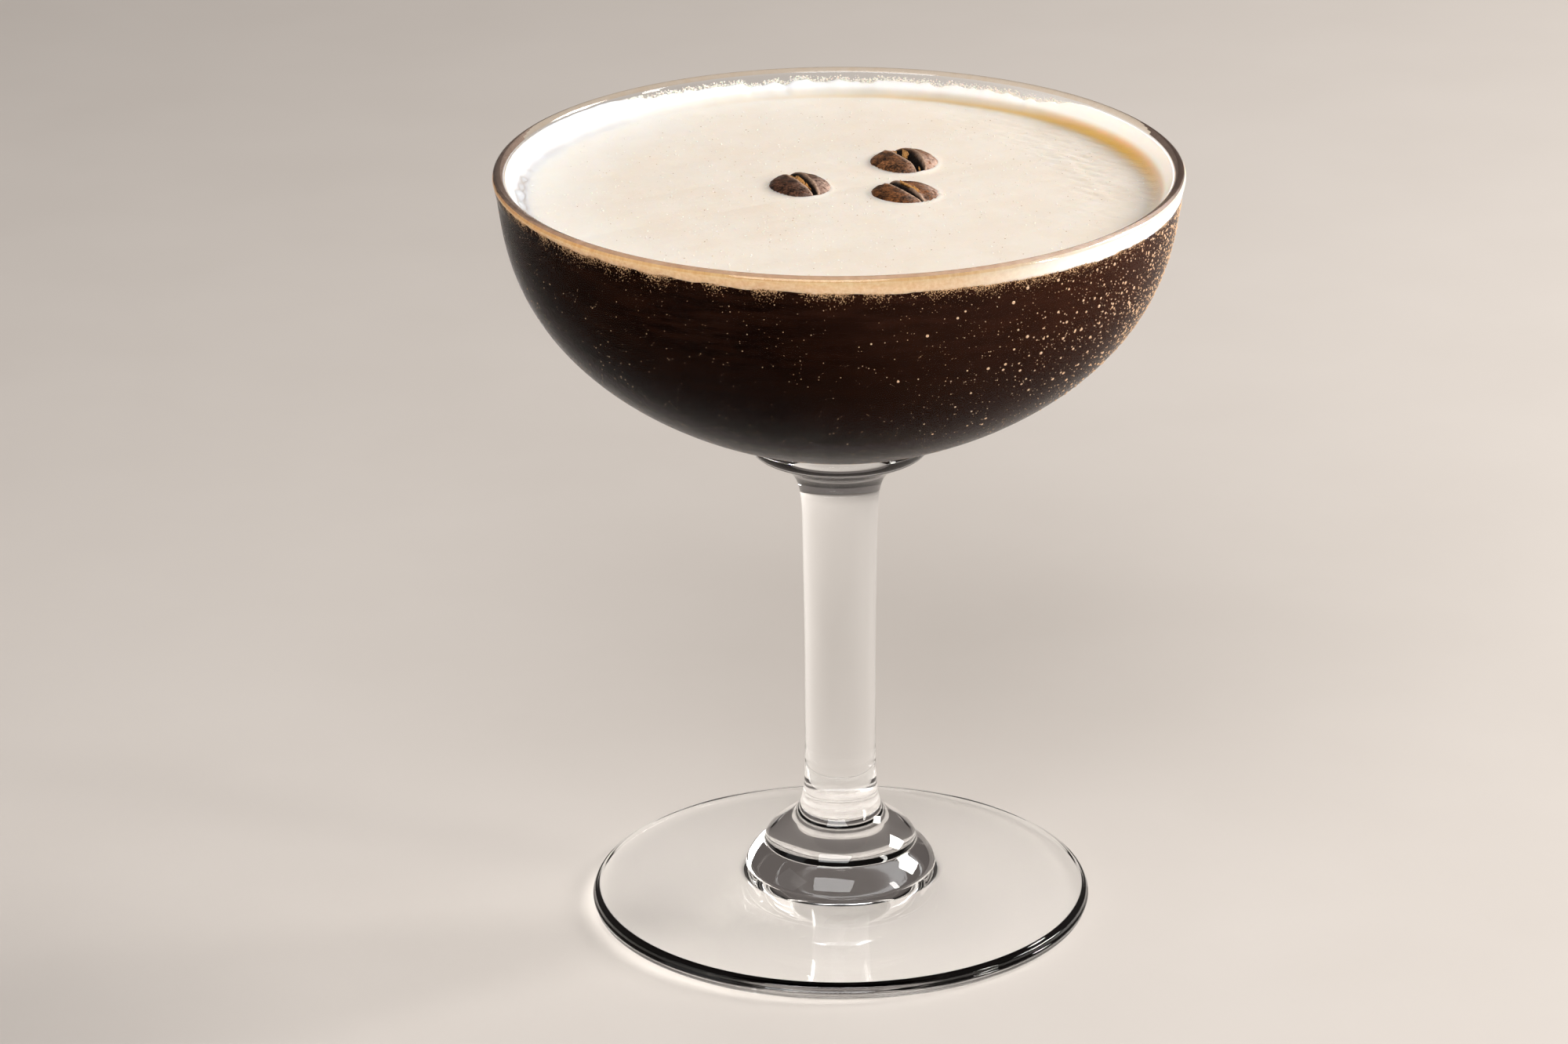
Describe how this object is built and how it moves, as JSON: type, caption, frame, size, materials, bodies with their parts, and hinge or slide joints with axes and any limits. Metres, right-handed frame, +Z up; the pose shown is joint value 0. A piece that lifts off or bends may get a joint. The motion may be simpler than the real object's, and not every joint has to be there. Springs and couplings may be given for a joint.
{
  "type": "coffee cocktail in a coupe glass",
  "caption": "Footed coupe glass filled with dark coffee cocktail under cream foam, with roasted coffee beans afloat and condensation on the bowl.",
  "frame": {"origin": "middle of the foot's flat underside, on the surface the glass stands on", "axes": "+Z up along the glass's axis, -Y towards the camera of the picture, +X to its right"},
  "size_m": [0.092, 0.092, 0.1063],
  "materials": {
    "clear_glass": "clear polished pressed glass, with fine condensation on the outside of the bowl",
    "coffee": "near-black brown liquid, glossy",
    "foam": "fine cream-coloured coffee foam, soft satin",
    "roasted_bean": "dark roasted coffee bean, satin with a dry golden seam"
  },
  "bodies": {
    "root": {"coupe_glass": "clear_glass", "coffee": "coffee", "foam": "foam", "bean_1": "roasted_bean", "bean_2": "roasted_bean", "bean_3": "roasted_bean"}
  },
  "joints": []
}
